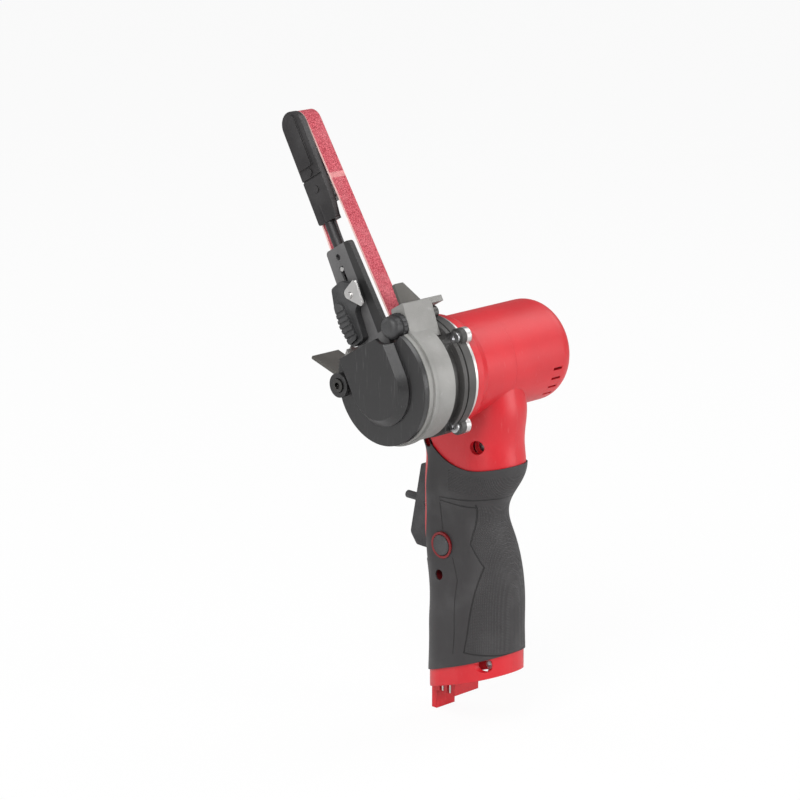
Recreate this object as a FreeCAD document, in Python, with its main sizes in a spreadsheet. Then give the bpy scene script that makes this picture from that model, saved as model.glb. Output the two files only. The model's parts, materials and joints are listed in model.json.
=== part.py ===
import FreeCAD
import Part
import math
import os
import re

# Cordless pistol-grip belt file, sizes in millimetres.
# +Z runs up the handle, +X is the tool's left (the motor axis points that way, towards the
# belt head), and -Y is the tool's front. The origin is the middle of the battery socket's mouth.

Vector = FreeCAD.Vector
X_AXIS = Vector(1, 0, 0)
Y_AXIS = Vector(0, 1, 0)

SIZES = {
    # Motor barrel and its axis
    "axis_z": 162.6,
    "barrel_r": 25.5,
    "barrel_rear_x": -44.0,
    "barrel_front_x": 30.0,
    "barrel_round": 10.0,
    "barrel_lip": 2.3,
    "barrel_lip_len": 5.0,
    "shell_wall": 2.4,
    "grip_skin": 0.8,
    # Motor
    "stator_x": -24.0,
    "stator_len": 28.0,
    "rotor_r": 11.0,
    "air_gap": 0.5,
    "winding_len": 6.0,
    "winding_inset": 1.5,
    "shaft_r": 3.0,
    "bearing_r": 8.0,
    "bearing_len": 5.0,
    "front_bearing_r": 9.5,
    "front_bearing_len": 6.0,
    "rear_boss_wall": 2.2,
    "running_gap": 0.05,
    "clear_gap": 0.3,
    "fan_x": 12.5,
    "fan_len": 8.0,
    "fan_r": 19.0,
    "fan_hub_r": 6.5,
    "fan_plate": 1.2,
    "fan_blades": 9,
    "blade_thick": 1.2,
    # Front flange and swivel collar
    "flange_r": 28.6,
    "flange_len": 3.0,
    "flange_ear_r": 4.2,
    "flange_ear_at": 29.6,
    "flange_screw_r": 1.6,
    "flange_head_r": 2.9,
    "flange_head_len": 1.6,
    "collar_r": 30.0,
    "collar_len": 8.0,
    "collar_bore": 11.0,
    "neck_r": 27.0,
    "neck_len": 5.3,
    "neck_wall": 2.7,
    # Belt drive
    "arm_tilt": 30.0,
    "centre_distance": 133.4,
    "pulley_r": 12.9,
    "roller_r": 5.9,
    "belt_gap": 0.1,
    "belt_thick": 1.0,
    "belt_width": 9.5,
    "belt_x": 47.5,
    "pulley_recess_r": 6.5,
    "pulley_recess": 2.6,
    "pulley_screw_r": 4.6,
    # Belt head housing
    "cup_r": 29.5,
    "cup_wall": 2.5,
    "cup_front_x": 64.0,
    "head_hub_r": 24.0,
    "head_hub_x": 42.3,
    "cup_back_thick": 2.4,
    "cup_back_bore": 17.2,
    "belt_slot_half": 16.6,
    "tower_inner": 17.2,
    "tower_outer": 24.3,
    "tower_lean": 2.3,
    "tower_top": 31.5,
    "tower_front_x": 60.0,
    "tab_thick": 3.0,
    "tab_rear_x": 33.4,
    "clamp_r": 1.8,
    "clamp_head_r": 3.1,
    "clamp_w": 22.4,
    "clamp_l": 24.9,
    "boss_r": 3.4,
    "bracket_x": 59.0,
    "bracket_thick": 3.0,
    # Pulley cover
    "cover_r": 29.2,
    "cover_rim": 2.8,
    "cover_top": 20.5,
    "cover_dome_r": 19.5,
    "cover_dome": 4.6,
    "cover_bevel": 3.6,
    "cover_wall": 2.0,
    "cover_boss_r": 6.0,
    "cover_boss_w": -24.4,
    "cover_boss_l": 9.6,
    "cover_screw_r": 2.0,
    "cover_screw_head_r": 3.3,
    # Tension parts on the arm
    "rod_x": 58.0,
    "rod_w": -2.0,
    "rod_r": 2.9,
    "rod_low": 57.0,
    "rod_high": 93.0,
    "sleeve_low": 36.0,
    "sleeve_high": 71.0,
    "sleeve_wall": 1.3,
    "spring_r": 2.1,
    "spring_wire": 0.35,
    "spring_turns": 12,
    "guide_pin_r": 1.1,
    "guide_pin_l": 60.0,
    "slot_gap": 0.25,
    "nose_travel": 5.0,
    "lever_pin_r": 1.6,
    "lever_pivot_w": 1.9,
    "lever_pivot_l": 45.8,
    "lever_x": 62.4,
    "lever_thick": 3.6,
    "lever_plate_thick": 1.2,
    "knob_w": 19.4,
    "knob_l": 22.6,
    "knob_r": 5.6,
    "knob_rib_r": 6.3,
    "knob_shaft_r": 2.0,
    "knob_x": 60.4,
    "knob_len": 8.4,
    # Nose
    "nose_half": 7.2,
    "nose_low": 84.0,
    "nose_plate_x": 57.7,
    "nose_plate_thick": 3.3,
    "nose_panel": 0.8,
    "nose_frame_low": 93.6,
    "nose_frame_high": 125.0,
    "platen_thick": 0.9,
    "platen_gap": 0.3,
    "roller_bearing_r": 3.0,
    "roller_pin_r": 1.5,
    "rivet_r": 1.3,
    # Handle
    "foot_slope": 0.33,
    "foot_band": 9.5,
    "band_slope": 0.36,
    "front_band_half": 14.0,
    "trigger_half": 6.0,
    "trigger_slot_gap": 0.4,
    "trigger_low": 62.0,
    "trigger_high": 105.5,
    "trigger_pivot_y": -26.6,
    "trigger_pivot_z": 102.4,
    "trigger_pin_r": 1.6,
    "lock_pin_r": 1.1,
    "lock_y": -30.5,
    "lock_z": 85.0,
    "lock_tip_y": -49.0,
    "lock_half": 2.0,
    "plunger_r": 2.4,
    "plunger_z": 92.0,
    "switch_half": 7.5,
    "switch_front_y": -15.0,
    "switch_len": 18.0,
    "switch_low": 84.0,
    "switch_tall": 24.0,
    "button_y": -9.1,
    "button_z": 70.2,
    "button_r": 5.2,
    "button_half": 17.4,
    "button_ring_r": 6.7,
    "button_ring_x": 16.7,
    "board_z": 115.4,
    "board_thick": 5.0,
    "board_half": 8.0,
    "board_len": 28.0,
    # Fasteners through the two shells
    "screw_r": 1.3,
    "screw_head_r": 2.6,
    "screw_recess_r": 3.5,
    "screw_boss_r": 3.8,
    "screw_inset": 8.0,
    # Battery connection
    "post_half": 6.5,
    "post_low": -21.0,
    "block_half": 8.5,
    "block_low": -10.5,
    "block_high": 8.0,
    "block_thick": 13.0,
    "blade_thick": 1.0,
    "blade_pitch": 5.2,
    "blade_slot_depth": 2.6,
    "blade_slot_width": 2.8,
}

# Handle sections: height, then centre distance and radius of the front and the back round.
# They give the outside of the rubber grip, and the housing lies one skin thickness below.
SECTIONS = [
    (-14.0, 6.7, 19.5, 5.2, 20.5),
    (-4.0, 6.7, 19.5, 5.2, 20.5),
    (8.0, 6.7, 19.4, 5.2, 20.4),
    (22.0, 6.7, 19.2, 5.2, 20.2),
    (34.0, 6.9, 18.9, 5.3, 20.0),
    (46.0, 7.4, 18.5, 5.4, 19.8),
    (62.0, 12.6, 16.5, 6.6, 17.2),
    (76.0, 16.4, 15.1, 3.6, 15.7),
    (91.0, 16.6, 15.0, 0.9, 15.2),
    (101.0, 16.6, 15.0, 5.4, 16.2),
    (110.0, 16.2, 14.8, 9.0, 17.3),
    (120.0, 16.2, 15.8, 8.4, 17.8),
    (132.0, 15.2, 17.8, 8.0, 18.2),
    (146.0, 11.6, 18.8, 7.8, 18.4),
    (158.0, 7.2, 18.4, 7.2, 18.4),
]

# Places of the long screws: Y, Z
SCREW_PLACES = [(14.0, 124.7), (-20.0, 121.0), (18.4, 13.4), (-9.6, 55.0)]

doc = FreeCAD.newDocument("belt_file")
sheet = doc.addObject("Spreadsheet::Sheet", "sizes")
nodes = []


def fill_sheet():
    for row, (alias, value) in enumerate(SIZES.items(), start=1):
        sheet.set(f"A{row}", alias)
        sheet.set(f"B{row}", str(value))
        sheet.setAlias(f"B{row}", alias)
    doc.recompute()


def size(alias):
    return float(sheet.get(alias))


def bind(item, prop, formula):
    """Bind a property to a formula whose words are the sheet's names."""
    linked = re.sub(r"[a-z]\w*", lambda word: "sizes." + word.group(0), formula)
    item.setExpression(prop, linked)


def keep(item, label):
    item.Label = label
    nodes.append(item)
    return item


def place_on_arm(item):
    """Arm parts are drawn upright about the motor axis, then tilted forwards with the arm."""
    holder = doc.addObject("Part::Compound", item.Name + "_tilted")
    holder.Links = [item]
    holder.Placement = FreeCAD.Placement(Vector(0, 0, 1), FreeCAD.Rotation(X_AXIS, 1))
    bind(holder, "Placement.Base.z", "axis_z")
    bind(holder, "Placement.Rotation.Angle", "arm_tilt")
    return holder


def cylinder_x(name, radius, start, length, y="0", z="0"):
    """A round bar along X, its four sizes given as formulas."""
    item = doc.addObject("Part::Cylinder", name)
    item.Placement = FreeCAD.Placement(Vector(), FreeCAD.Rotation(Y_AXIS, 90))
    bind(item, "Radius", radius)
    bind(item, "Height", length)
    bind(item, "Placement.Base.x", start)
    bind(item, "Placement.Base.y", y)
    bind(item, "Placement.Base.z", z)
    return item


def cylinder_z(name, radius, start, length, x, y):
    item = doc.addObject("Part::Cylinder", name)
    bind(item, "Radius", radius)
    bind(item, "Height", length)
    bind(item, "Placement.Base.x", x)
    bind(item, "Placement.Base.y", y)
    bind(item, "Placement.Base.z", start)
    return item


def box(name, low, spans):
    """A block from its low corner's three formulas and its three spans."""
    item = doc.addObject("Part::Box", name)
    for prop, formula in zip(("Length", "Width", "Height"), spans):
        bind(item, prop, formula)
    for axis, formula in zip("xyz", low):
        bind(item, f"Placement.Base.{axis}", formula)
    return item


def join(name, parts):
    item = doc.addObject("Part::MultiFuse", name)
    item.Shapes = parts
    item.Refine = True
    return item


def cut(name, base, tools):
    item = doc.addObject("Part::Cut", name)
    item.Base = base
    item.Tool = tools[0] if len(tools) == 1 else join(name + "_tools", tools)
    item.Refine = True
    return item


def solid(name, shape):
    item = doc.addObject("Part::Feature", name)
    item.Shape = shape
    return item


def rounded(points, radii):
    """Edges of a closed outline whose corners have the given radii."""
    count = len(points)
    corners = []
    for index, point in enumerate(points):
        here = Vector(*point, 0)
        back = Vector(*points[index - 1], 0) - here
        ahead = Vector(*points[(index + 1) % count], 0) - here
        radius = radii[index]
        if radius <= 0:
            corners.append((here, None, here))
            continue
        half = back.getAngle(ahead) / 2
        reach = radius / math.tan(half)
        back.normalize()
        ahead.normalize()
        middle = back + ahead
        middle.normalize()
        centre = here + middle * (radius / math.sin(half))
        top = centre - middle * radius
        corners.append((here + back * reach, top, here + ahead * reach))
    edges = []
    for index, (start, top, end) in enumerate(corners):
        if top is not None:
            edges.append(Part.Arc(start, top, end))
        following = corners[(index + 1) % count][0]
        if (following - end).Length > 1e-6:
            edges.append(Part.LineSegment(end, following))
    return edges


def loop_outline(low_r, high_r, distance):
    """Edges of a belt path round two wheels, the lower one at the origin."""
    lean = math.asin((low_r - high_r) / distance)
    side = Vector(math.cos(lean), math.sin(lean), 0)
    other = Vector(-math.cos(lean), math.sin(lean), 0)
    top = Vector(0, distance, 0)
    return [
        Part.LineSegment(side * low_r, top + side * high_r),
        Part.Arc(top + side * high_r, top + Vector(0, high_r, 0), top + other * high_r),
        Part.LineSegment(top + other * high_r, other * low_r),
        Part.Arc(other * low_r, Vector(0, -low_r, 0), side * low_r),
    ]


def slab(name, outlines, start, length, plane="YZ_Plane"):
    """A padded sketch across the plane, from a start formula and a length formula."""
    body = doc.addObject("PartDesign::Body", name)
    sketch = body.newObject("Sketcher::SketchObject", name + "_sketch")
    origin = [item for item in body.Origin.OriginFeatures if item.Role == plane][0]
    sketch.AttachmentSupport = [(origin, "")]
    sketch.MapMode = "FlatFace"
    bind(sketch, "AttachmentOffset.Base.z", start)
    for outline in outlines:
        sketch.addGeometry(outline, False)
    pad = body.newObject("PartDesign::Pad", name + "_pad")
    pad.Profile = sketch
    bind(pad, "Length", length)
    return body


def circle(y, z, radius):
    return [Part.Circle(Vector(y, z, 0), Vector(0, 0, 1), radius)]


def bar_shape(radius, start, length, y, z):
    return Part.makeCylinder(radius, length, Vector(start, y, z), X_AXIS)


def block_shape(low, high):
    span = Vector(*high) - Vector(*low)
    return Part.makeBox(span.x, span.y, span.z, Vector(*low))


def half_path(section, inset, side):
    """Points along one side of a handle section, from its front to its back."""
    level, front_c, front_r, back_c, back_r = section
    front_r -= inset
    back_r -= inset
    lean = math.asin((back_r - front_r) / (front_c + back_c))
    front = Vector(0, -front_c, level)
    back = Vector(0, back_c, level)
    out = Vector(side * math.cos(lean), -math.sin(lean), 0)
    front_turn = (out + Vector(0, -1, 0)).normalize()
    back_turn = (out + Vector(0, 1, 0)).normalize()
    return [
        front + Vector(0, -front_r, 0),
        front + front_turn * front_r,
        front + out * front_r,
        back + out * back_r,
        back + back_turn * back_r,
        back + Vector(0, back_r, 0),
    ]


def shell_wire(section, outer, inner, side):
    """A C-shaped section of one half, reaching a little past the middle plane."""
    past = Vector(-side, 0, 0)
    a, b, c, d, e, f = half_path(section, outer, side)
    g, h, i, j, k, m = half_path(section, inner, side)
    return Part.Wire([
        Part.makeLine(a + past, a),
        Part.Arc(a, b, c).toShape(),
        Part.makeLine(c, d),
        Part.Arc(d, e, f).toShape(),
        Part.makeLine(f, f + past),
        Part.makeLine(f + past, m + past),
        Part.makeLine(m + past, m),
        Part.Arc(m, k, j).toShape(),
        Part.makeLine(j, i),
        Part.Arc(i, h, g).toShape(),
        Part.makeLine(g, g + past),
        Part.makeLine(g + past, a + past),
    ])


def handle_half(outer, inner, side):
    return Part.makeLoft([shell_wire(item, outer, inner, side) for item in SECTIONS], True, False)


def half_width(y, z):
    """Half the housing's width inside its wall, at a place seen from the side."""
    upper = next(item for item in SECTIONS if item[0] >= z)
    lower = SECTIONS[SECTIONS.index(upper) - 1]
    share = (z - lower[0]) / (upper[0] - lower[0])
    _, front_c, front_r, back_c, back_r = [
        one + (two - one) * share for one, two in zip(lower, upper)
    ]
    if y < -front_c:
        wide = math.sqrt(front_r ** 2 - (y + front_c) ** 2)
    elif y > back_c:
        wide = math.sqrt(back_r ** 2 - (y - back_c) ** 2)
    else:
        wide = front_r + (back_r - front_r) * (y + front_c) / (front_c + back_c)
    return wide - size("grip_skin") - size("shell_wall") / 2


def barrel_shape(inset):
    """The motor barrel with its rounded closed end and, outside, the lip at its open end."""
    radius = size("barrel_r") - inset
    rear = size("barrel_rear_x") + inset
    front = size("barrel_front_x")
    axis = size("axis_z")
    body = bar_shape(radius, rear, front - rear, 0, axis)
    ends = [edge for edge in body.Edges if abs(edge.BoundBox.XMax - rear) < 0.01]
    ends = [edge for edge in ends if abs(edge.BoundBox.XMin - rear) < 0.01]
    body = body.makeFillet(size("barrel_round") - inset, ends)
    if inset:
        return body
    lip_len = size("barrel_lip_len")
    lip_r = radius + size("barrel_lip")
    lip = Part.makeCone(radius, lip_r, lip_len, Vector(front - 2 * lip_len, 0, axis), X_AXIS)
    ring = bar_shape(lip_r, front - lip_len, lip_len, 0, axis)
    return body.fuse([lip, ring])


def slanted_slice(low_offset, high_offset, slope):
    """All of the space between two parallel planes that rise towards the back."""
    far = 80.0
    corners = [
        Vector(-far, -far, low_offset - far * slope),
        Vector(-far, far, low_offset + far * slope),
        Vector(-far, far, high_offset + far * slope),
        Vector(-far, -far, high_offset - far * slope),
    ]
    face = Part.Face(Part.makePolygon(corners + corners[:1]))
    return face.extrude(Vector(2 * far, 0, 0))


def grip_zone():
    """The space the rubber grip takes, seen from the side, less the red band in front."""
    far = 80.0
    band = size("foot_band")
    slope = size("band_slope")
    corners = [
        Vector(-far, -45, 128.0),
        Vector(-far, -45, band - 45 * slope),
        Vector(-far, 45, band + 45 * slope),
        Vector(-far, 45, 119.0),
    ]
    upper = [
        Vector(-far, 27, 115.2),
        Vector(-far, 12, 112.6),
        Vector(-far, -2, 112.9),
        Vector(-far, -13, 117.2),
        Vector(-far, -23, 126.5),
    ]
    curve = Part.BSplineCurve()
    curve.interpolate([corners[-1]] + upper + [corners[0]])
    sides = Part.makePolygon(corners).Edges
    zone = Part.Face(Part.Wire(sides + [curve.toShape()])).extrude(Vector(2 * far, 0, 0))
    half = size("front_band_half")
    window = block_shape((-half, -60, size("trigger_low") - 3), (half, -12, 140))
    return zone.cut(window)


def half_space(side, past=0):
    """All of the space on one side of the middle plane, and a little past it."""
    far = 90.0
    low, high = sorted((-past * side, far * side))
    return block_shape((low, -far, -far), (high, far, 4 * far))


def build_shells():
    """The two moulded housing halves and the two halves of the rubber grip over them."""
    skin = size("grip_skin")
    wall = size("shell_wall")
    zone = grip_zone()
    above_foot = slanted_slice(0, 260, size("foot_slope"))
    barrel = barrel_tube()
    cavity = bar_shape(size("barrel_r") - wall, -90, 180, 0, size("axis_z"))
    post = block_shape(
        (-size("post_half"), -25.0, size("post_low")), (size("post_half"), -21.6, 12)
    )
    holes = shell_holes()
    for side, word in ((1, "left"), (-1, "right")):
        half = half_space(side)
        wide_half = half_space(side, 2)
        shell = handle_half(skin, skin + wall, side).cut(cavity).common(above_foot)
        extras = [barrel.common(wide_half), post.common(wide_half)]
        extras += [item.common(wide_half) for item in shell_extras(side)]
        shell = shell.fuse(extras).cut(holes).common(half)
        keep(solid(word + "_shell", shell), word + "_housing_shell")

        grip = handle_half(0, skin, side).common(zone)
        grip = grip.cut(grip_holes()).common(half)
        keep(solid(word + "_grip", grip), word + "_grip_overmould")


def barrel_tube():
    """The barrel's wall with a passage for the wires down into the handle."""
    wall = size("shell_wall")
    axis = size("axis_z")
    open_end = bar_shape(size("barrel_r") - wall, 20, 40, 0, axis)
    passage = block_shape((-11, -13, axis - 40), (11, 13, axis))
    tube = barrel_shape(0).cut([barrel_shape(wall), open_end, passage])
    tube = tube.fuse(rear_bearing_boss(axis))
    seat = bar_shape(size("bearing_r"), size("barrel_rear_x") + wall,
                     size("bearing_len") + 1, 0, axis)
    return tube.cut([seat] + vent_slots(axis))


def shell_extras(side):
    """Screw bosses, the direction button's collar and the ribs inside one half."""
    extras = []
    for y, z in SCREW_PLACES:
        edge = size("screw_boss_r")
        reach = side * min(half_width(y - edge, z), half_width(y + edge, z))
        low, high = sorted((-2.0 * side, reach))
        extras.append(bar_shape(size("screw_boss_r"), low, high - low, y, z))
    button_y = size("button_y")
    button_z = size("button_z")
    low, high = sorted((side * (half_width(button_y, button_z) - 2), side * size("button_ring_x")))
    extras.append(bar_shape(size("button_ring_r"), low, high - low, button_y, button_z))
    switch_half = size("switch_half")
    middle = size("switch_low") + size("switch_tall") / 2
    low, high = sorted((side * switch_half, side * (half_width(-4, middle))))
    extras.append(block_shape((low, -9, middle - 1), (high, 0, middle + 1)))
    level = size("board_z") + size("board_thick") / 2
    low, high = sorted((side * size("board_half"), side * half_width(0, level)))
    extras.append(block_shape((low, -8, level - 1), (high, 8, level + 1)))
    return extras


def shell_holes():
    slot_half = size("trigger_half") + size("trigger_slot_gap")
    pin_half = size("trigger_half") + 2.2
    return [
        block_shape((-slot_half, -50, size("trigger_low") - 1.5),
                    (slot_half, -20, size("trigger_high") + 3)),
        bar_shape(size("button_r") + size("clear_gap"), -40, 80,
                  size("button_y"), size("button_z")),
        bar_shape(size("trigger_pin_r"), -pin_half, 2 * pin_half,
                  size("trigger_pivot_y"), size("trigger_pivot_z")),
    ] + screw_holes()


def grip_holes():
    inset = size("screw_inset")
    holes = [bar_shape(size("screw_head_r"), inset, 30, y, z) for y, z in SCREW_PLACES]
    holes.append(bar_shape(size("button_ring_r"), -40, 80, size("button_y"), size("button_z")))
    return holes


def rear_bearing_boss(axis):
    rear = size("barrel_rear_x") + size("shell_wall")
    radius = size("bearing_r") + size("rear_boss_wall")
    return bar_shape(radius, rear - 1, size("bearing_len") + 1, 0, axis)


def screw_holes():
    """Each screw has a shank hole across both halves and an open counterbore on the left."""
    inset = size("screw_inset")
    holes = []
    for y, z in SCREW_PLACES:
        holes.append(bar_shape(size("screw_r"), -inset, 2 * inset, y, z))
        holes.append(bar_shape(size("screw_head_r"), inset, 30, y, z))
    for y, z in SCREW_PLACES[:3]:
        holes.append(bar_shape(size("screw_recess_r"), inset + 3.2, 30, y, z))
    return holes


def vent_slots(axis):
    """Short cooling slots near the closed end, on the back and on the front."""
    slots = []
    start = size("barrel_rear_x") + 11.0
    for angle in (-46, -34, -22, -10):
        for turn in (angle, 180 - angle):
            slot = block_shape((start, size("barrel_r") - 5, -0.7),
                               (start + 6.0, size("barrel_r") + 6, 0.7))
            slot.rotate(Vector(0, 0, 0), X_AXIS, turn)
            slot.translate(Vector(0, 0, axis))
            slots.append(slot)
    return slots


def build_screws():
    shapes = []
    inset = size("screw_inset")
    for y, z in SCREW_PLACES:
        shank = bar_shape(size("screw_r"), -inset, 2 * inset, y, z)
        head = bar_shape(size("screw_head_r") - 0.1, inset, 2.2, y, z)
        socket = bar_shape(1.2, inset + 1, 2, y, z)
        shapes.append(shank.fuse(head).cut(socket))
    keep(solid("long_screws", Part.makeCompound(shapes)), "housing_screws")


def build_motor():
    axis = "axis_z"
    inner = "barrel_r - shell_wall - 0.05"
    stator = cut("stator", cylinder_x("stator_outer", inner, "stator_x", "stator_len", z=axis), [
        cylinder_x("stator_bore", "rotor_r + air_gap", "stator_x - 1", "stator_len + 2", z=axis)])
    keep(stator, "stator_core")
    rings = []
    for name, start in (("rear", "stator_x - winding_len"), ("front", "stator_x + stator_len")):
        outer = cylinder_x(name + "_coil", inner + " - winding_inset", start, "winding_len", z=axis)
        hole = cylinder_x(name + "_coil_hole", "rotor_r + 2 * winding_inset", start + " - 1",
                          "winding_len + 2", z=axis)
        rings.append(cut(name + "_winding", outer, [hole]))
    keep(join("windings", rings), "stator_windings")

    shaft_start = "barrel_rear_x + shell_wall + 0.6"
    shaft_end = "belt_x + belt_width + 0.3 - pulley_recess"
    shaft = cylinder_x("shaft", "shaft_r", shaft_start, f"{shaft_end} - ({shaft_start})", z=axis)
    keep(shaft, "rotor_shaft")
    core = cut("rotor", cylinder_x("rotor_outer", "rotor_r", "stator_x", "stator_len", z=axis), [
        cylinder_x("rotor_bore", "shaft_r", "stator_x - 1", "stator_len + 2", z=axis)])
    keep(core, "rotor_core")

    for label, radius, start, length in (
        ("rear_bearing", "bearing_r", "barrel_rear_x + shell_wall", "bearing_len"),
        ("front_bearing", "front_bearing_r", "barrel_front_x - front_bearing_len",
         "front_bearing_len"),
        ("spindle_bearing", "bearing_r", "head_hub_x", "belt_x - 0.9 - head_hub_x"),
    ):
        ring = cylinder_x(label + "_outer", radius, start, length, z=axis)
        hole = cylinder_x(label + "_bore", "shaft_r + running_gap", start + " - 1",
                          length + " + 2", z=axis)
        keep(cut(label + "_ring", ring, [hole]), label)


def build_fan():
    axis = size("axis_z")
    start = size("fan_x")
    length = size("fan_len")
    plate = bar_shape(size("fan_r"), start, size("fan_plate"), 0, axis)
    hub = bar_shape(size("fan_hub_r"), start, length, 0, axis)
    blades = []
    count = int(size("fan_blades"))
    thick = size("blade_thick")
    for index in range(count):
        blade = block_shape((start, size("fan_hub_r") - 1, -thick / 2),
                            (start + length, size("fan_r") - 0.5, thick / 2))
        blade.rotate(Vector(0, 0, 0), X_AXIS, index * 360.0 / count)
        blade.translate(Vector(0, 0, axis))
        blades.append(blade)
    fan = plate.fuse([hub] + blades)
    fan = fan.cut(bar_shape(size("shaft_r"), start - 1, length + 2, 0, axis))
    keep(solid("fan", fan), "cooling_fan")


def build_flange():
    """The silver front plate that holds the front bearing and ties the collar to the barrel."""
    axis = "axis_z"
    hub_len = "front_bearing_len + flange_len"
    hub_start = "barrel_front_x - front_bearing_len"
    disc = cylinder_x("flange_disc", "flange_r", "barrel_front_x", "flange_len", z=axis)
    hub = cylinder_x("flange_hub", "front_bearing_r + 3", hub_start, hub_len, z=axis)
    ears = []
    holes = []
    for index, angle in enumerate(flange_angles()):
        y = f"flange_ear_at * {math.cos(angle):.6f}"
        z = f"axis_z + flange_ear_at * {math.sin(angle):.6f}"
        ears.append(cylinder_x(f"ear_{index}", "flange_ear_r", "barrel_front_x", "flange_len", y, z))
        holes.append(cylinder_x(f"ear_hole_{index}", "flange_screw_r", "barrel_front_x - 1",
                                "flange_len + 2", y, z))
    seat = cylinder_x("bearing_seat", "front_bearing_r", hub_start + " - 1",
                      "front_bearing_len + 1", z=axis)
    bore = cylinder_x("flange_bore", "shaft_r + 3", hub_start, hub_len + " + 1", z=axis)
    flange = cut("flange", join("flange_solid", [disc, hub] + ears), [seat, bore] + holes)
    keep(flange, "front_flange")


def flange_angles():
    return [math.radians(angle) for angle in (48, 132, 228, 312)]


def build_collar():
    axis = "axis_z"
    start = "barrel_front_x + flange_len"
    ring = cylinder_x("collar_ring", "collar_r", start, "collar_len", z=axis)
    neck_x = start + " + collar_len"
    neck = cylinder_x("collar_neck", "neck_r", neck_x, "neck_len", z=axis)
    groove = cylinder_x("collar_groove", "collar_r + 5", start + " + collar_len * 0.58", "0.9",
                        z=axis)
    groove_core = cylinder_x("collar_groove_core", "collar_r - 0.9", start, "collar_len", z=axis)
    ring_cut = cut("collar_groove_ring", groove, [groove_core])
    bore = cylinder_x("collar_bore", "collar_bore", start + " - 1", "collar_len + 20", z=axis)
    recess = cylinder_x("collar_recess", "neck_r - neck_wall", "head_hub_x - clear_gap", "20",
                        z=axis)
    ears = []
    holes = []
    for index, angle in enumerate(flange_angles()):
        y = f"flange_ear_at * {math.cos(angle):.6f}"
        z = f"axis_z + flange_ear_at * {math.sin(angle):.6f}"
        ears.append(cylinder_x(f"collar_ear_{index}", "flange_ear_r", start, "collar_len * 0.4",
                               y, z))
        holes.append(cylinder_x(f"collar_hole_{index}", "flange_screw_r", start + " - 1",
                                "collar_len + 2", y, z))
        holes.append(cylinder_x(f"collar_relief_{index}", "flange_head_r + 0.1",
                                start + " + collar_len * 0.4", "collar_len", y, z))
    collar = cut("collar", join("collar_solid", [ring, neck] + ears),
                 [ring_cut, bore, recess] + holes)
    keep(collar, "swivel_collar")

    shapes = []
    head_x = size("barrel_front_x") + size("flange_len") + size("collar_len") * 0.4
    shank = size("flange_len") + size("collar_len") * 0.4
    for angle in flange_angles():
        y = size("flange_ear_at") * math.cos(angle)
        z = size("axis_z") + size("flange_ear_at") * math.sin(angle)
        screw = bar_shape(size("flange_screw_r"), head_x - shank, shank, y, z)
        screw = screw.fuse(bar_shape(size("flange_head_r"), head_x, size("flange_head_len"), y, z))
        shapes.append(screw.cut(bar_shape(1.3, head_x + 1, 2, y, z)))
    keep(solid("flange_fasteners", Part.makeCompound(shapes)), "flange_screws")


def build_drive():
    """Drive pulley with its end screw recessed in the front face."""
    axis = "axis_z"
    width = "belt_width + 0.3"
    rim = cylinder_x("pulley_rim", "pulley_r", "belt_x", width, z=axis)
    bore = cylinder_x("pulley_bore", "shaft_r", "belt_x - 1", "belt_width + 2", z=axis)
    recess = cylinder_x("pulley_front", "pulley_recess_r",
                        "belt_x + belt_width + 0.3 - pulley_recess", "pulley_recess + 1", z=axis)
    keep(cut("pulley", rim, [bore, recess]), "drive_pulley")
    head_x = "belt_x + belt_width + 0.3 - pulley_recess"
    head = cylinder_x("pulley_screw_head", "pulley_screw_r", head_x, "pulley_recess - 0.3", z=axis)
    socket = cylinder_x("pulley_screw_socket", "1.5", head_x + " + 1", "5", z=axis)
    keep(cut("pulley_end_screw", head, [socket]), "pulley_screw")


def build_belt():
    distance = size("centre_distance")
    low = size("pulley_r") + size("belt_gap")
    high = size("roller_r") + size("belt_gap")
    thick = size("belt_thick")
    outlines = [loop_outline(low, high, distance), loop_outline(low + thick, high + thick, distance)]
    keep(place_on_arm(slab("belt", outlines, "belt_x", "belt_width")), "sanding_belt")


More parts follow.
